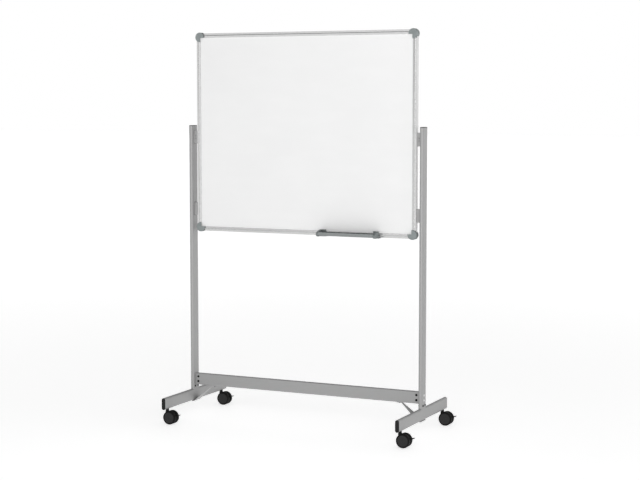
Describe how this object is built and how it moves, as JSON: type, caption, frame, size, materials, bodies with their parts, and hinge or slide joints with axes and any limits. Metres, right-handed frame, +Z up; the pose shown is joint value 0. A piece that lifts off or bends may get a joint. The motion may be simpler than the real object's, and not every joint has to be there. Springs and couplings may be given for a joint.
{
  "type": "rolling whiteboard",
  "caption": "Landscape whiteboard held between two uprights on castored feet, with a crossbar, braces, braked twin-wheel castors and a sliding pen tray on the lower frame rail.",
  "frame": {"origin": "on the floor at the middle of the overall box with all four castors trailing to the right, which is 30.25 mm to the right of the uprights' own middle and in the plane of their middles", "axes": "+X to the right of a person facing the writing side, the writing side faces -Y, +Z up"},
  "size_m": [1.3466, 0.64, 1.958],
  "materials": {
    "stand_paint": "satin powder coat",
    "bracket_paint": "satin powder coat",
    "insert_metal": "as sawn",
    "black_plastic": "matt",
    "black_screws": "black oxide",
    "bright_screws": "zinc plated",
    "white_enamel": "glossy enamel",
    "core_board": "fibreboard",
    "back_sheet": "galvanised sheet",
    "frame_aluminium": "anodised",
    "grey_plastic": "fine texture",
    "tray_metal": "anodised",
    "castor_plastic": "matt",
    "castor_steel": "zinc plated",
    "castor_wheel": "matt"
  },
  "bodies": {
    "stand_and_board": {"left_upright": "stand_paint", "right_upright": "stand_paint", "left_foot": "stand_paint", "right_foot": "stand_paint", "left_foot_spigot": "insert_metal", "right_foot_spigot": "insert_metal", "left_crossbar_insert": "insert_metal", "right_crossbar_insert": "insert_metal", "left_brace": "stand_paint", "right_brace": "stand_paint", "crossbar": "stand_paint", "tube_end_caps": "black_plastic", "crossbar_bolts": "black_screws", "crossbar_screws": "bright_screws", "foot_bolts": "black_screws", "foot_nuts": "black_screws", "column_bolts": "black_screws", "brace_screws": "black_screws", "writing_surface": "white_enamel", "board_core": "core_board", "board_back": "back_sheet", "bottom_rail": "frame_aluminium", "top_rail": "frame_aluminium", "left_rail": "frame_aluminium", "right_rail": "frame_aluminium", "bottom_left_corner": "grey_plastic", "bottom_right_corner": "grey_plastic", "top_right_corner": "grey_plastic", "top_left_corner": "grey_plastic", "corner_screws": "bright_screws", "left_upper_bracket": "bracket_paint", "left_lower_bracket": "bracket_paint", "right_upper_bracket": "bracket_paint", "right_lower_bracket": "bracket_paint", "bracket_studs": "bright_screws", "bracket_set_screws": "black_screws", "castor_sockets": "black_plastic"},
    "tray": {"pen_tray": "tray_metal", "pen_tray_left_end": "grey_plastic", "pen_tray_right_end": "grey_plastic"},
    "left_front_castor": {"left_front_castor_housing": "castor_plastic", "left_front_castor_pins": "castor_steel"},
    "left_front_outer_wheel_body": {"left_front_castor_outer_wheel": "castor_wheel"},
    "left_front_inner_wheel_body": {"left_front_castor_inner_wheel": "castor_wheel"},
    "left_front_brake": {"left_front_brake_lever": "castor_plastic"},
    "left_rear_castor": {"left_rear_castor_housing": "castor_plastic", "left_rear_castor_pins": "castor_steel"},
    "left_rear_outer_wheel_body": {"left_rear_castor_outer_wheel": "castor_wheel"},
    "left_rear_inner_wheel_body": {"left_rear_castor_inner_wheel": "castor_wheel"},
    "left_rear_brake": {"left_rear_brake_lever": "castor_plastic"},
    "right_front_castor": {"right_front_castor_housing": "castor_plastic", "right_front_castor_pins": "castor_steel"},
    "right_front_outer_wheel_body": {"right_front_castor_outer_wheel": "castor_wheel"},
    "right_front_inner_wheel_body": {"right_front_castor_inner_wheel": "castor_wheel"},
    "right_front_brake": {"right_front_brake_lever": "castor_plastic"},
    "right_rear_castor": {"right_rear_castor_housing": "castor_plastic", "right_rear_castor_pins": "castor_steel"},
    "right_rear_outer_wheel_body": {"right_rear_castor_outer_wheel": "castor_wheel"},
    "right_rear_inner_wheel_body": {"right_rear_castor_inner_wheel": "castor_wheel"},
    "right_rear_brake": {"right_rear_brake_lever": "castor_plastic"}
  },
  "joints": [
    {"name": "tray_slide", "type": "slide", "parent": "stand_and_board", "child": "tray", "axis": [1, 0, 0], "range_m": [-0.645, 0.145]},
    {"name": "left_front_swivel", "type": "hinge", "parent": "stand_and_board", "child": "left_front_castor", "pos_m": [-0.66025, -0.28, 0.07], "axis": [0, 0, 1], "continuous": true},
    {"name": "left_front_outer_wheel_spin", "type": "hinge", "parent": "left_front_castor", "child": "left_front_outer_wheel_body", "pos_m": [-0.63925, -0.28, 0.034], "axis": [0, 1, 0], "continuous": true},
    {"name": "left_front_inner_wheel_spin", "type": "hinge", "parent": "left_front_castor", "child": "left_front_inner_wheel_body", "pos_m": [-0.63925, -0.28, 0.034], "axis": [0, 1, 0], "continuous": true},
    {"name": "left_front_brake_press", "type": "hinge", "parent": "left_front_castor", "child": "left_front_brake", "pos_m": [-0.61425, -0.28, 0.046], "axis": [0, 1, 0], "range_deg": [0, 15]},
    {"name": "left_rear_swivel", "type": "hinge", "parent": "stand_and_board", "child": "left_rear_castor", "pos_m": [-0.66025, 0.28, 0.07], "axis": [0, 0, 1], "continuous": true},
    {"name": "left_rear_outer_wheel_spin", "type": "hinge", "parent": "left_rear_castor", "child": "left_rear_outer_wheel_body", "pos_m": [-0.63925, 0.28, 0.034], "axis": [0, 1, 0], "continuous": true},
    {"name": "left_rear_inner_wheel_spin", "type": "hinge", "parent": "left_rear_castor", "child": "left_rear_inner_wheel_body", "pos_m": [-0.63925, 0.28, 0.034], "axis": [0, 1, 0], "continuous": true},
    {"name": "left_rear_brake_press", "type": "hinge", "parent": "left_rear_castor", "child": "left_rear_brake", "pos_m": [-0.61425, 0.28, 0.046], "axis": [0, 1, 0], "range_deg": [0, 15]},
    {"name": "right_front_swivel", "type": "hinge", "parent": "stand_and_board", "child": "right_front_castor", "pos_m": [0.59975, -0.28, 0.07], "axis": [0, 0, 1], "continuous": true},
    {"name": "right_front_outer_wheel_spin", "type": "hinge", "parent": "right_front_castor", "child": "right_front_outer_wheel_body", "pos_m": [0.62075, -0.28, 0.034], "axis": [0, 1, 0], "continuous": true},
    {"name": "right_front_inner_wheel_spin", "type": "hinge", "parent": "right_front_castor", "child": "right_front_inner_wheel_body", "pos_m": [0.62075, -0.28, 0.034], "axis": [0, 1, 0], "continuous": true},
    {"name": "right_front_brake_press", "type": "hinge", "parent": "right_front_castor", "child": "right_front_brake", "pos_m": [0.64575, -0.28, 0.046], "axis": [0, 1, 0], "range_deg": [0, 15]},
    {"name": "right_rear_swivel", "type": "hinge", "parent": "stand_and_board", "child": "right_rear_castor", "pos_m": [0.59975, 0.28, 0.07], "axis": [0, 0, 1], "continuous": true},
    {"name": "right_rear_outer_wheel_spin", "type": "hinge", "parent": "right_rear_castor", "child": "right_rear_outer_wheel_body", "pos_m": [0.62075, 0.28, 0.034], "axis": [0, 1, 0], "continuous": true},
    {"name": "right_rear_inner_wheel_spin", "type": "hinge", "parent": "right_rear_castor", "child": "right_rear_inner_wheel_body", "pos_m": [0.62075, 0.28, 0.034], "axis": [0, 1, 0], "continuous": true},
    {"name": "right_rear_brake_press", "type": "hinge", "parent": "right_rear_castor", "child": "right_rear_brake", "pos_m": [0.64575, 0.28, 0.046], "axis": [0, 1, 0], "range_deg": [0, 15]}
  ]
}
